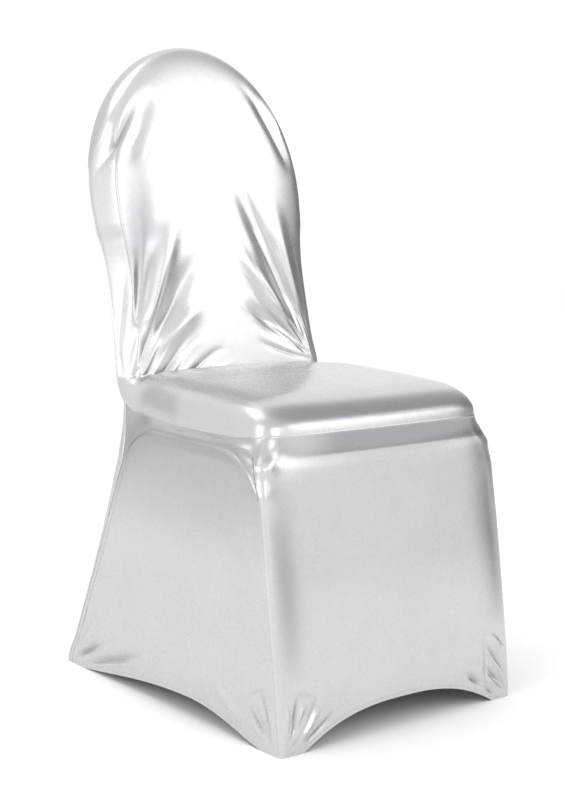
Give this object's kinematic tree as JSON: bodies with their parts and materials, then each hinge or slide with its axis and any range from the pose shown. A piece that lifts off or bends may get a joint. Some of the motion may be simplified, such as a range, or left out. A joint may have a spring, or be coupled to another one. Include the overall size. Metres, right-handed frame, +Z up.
{
  "type": "chair cover",
  "caption": "Fitted stretch cover for a round-backed banquet chair, hollow and open below, with pulled folds, arched hems and foot pockets.",
  "frame": {"origin": "on the floor, in the middle of the cover's footprint", "axes": "+Z up, the chair's front faces -Y, +X is to the right when the cover is seen from the front"},
  "size_m": [0.415, 0.537, 0.923],
  "materials": {
    "seat_back_panel": "silver-white metallic coated stretch knit, semi-gloss",
    "outer_back_panel": "silver-white metallic coated stretch knit, semi-gloss",
    "skirt": "silver-white metallic coated stretch knit, semi-gloss",
    "side_panel_left": "silver-white metallic coated stretch knit, semi-gloss",
    "side_panel_right": "silver-white metallic coated stretch knit, semi-gloss",
    "foot_cap_front_left": "silver-white metallic coated stretch knit, semi-gloss",
    "foot_cap_front_right": "silver-white metallic coated stretch knit, semi-gloss",
    "foot_cap_rear_left": "silver-white metallic coated stretch knit, semi-gloss",
    "foot_cap_rear_right": "silver-white metallic coated stretch knit, semi-gloss"
  },
  "bodies": {
    "root": {"seat_back_panel": "seat_back_panel", "outer_back_panel": "outer_back_panel", "skirt": "skirt", "side_panel_left": "side_panel_left", "side_panel_right": "side_panel_right", "foot_cap_front_left": "foot_cap_front_left", "foot_cap_front_right": "foot_cap_front_right", "foot_cap_rear_left": "foot_cap_rear_left", "foot_cap_rear_right": "foot_cap_rear_right"}
  },
  "joints": []
}
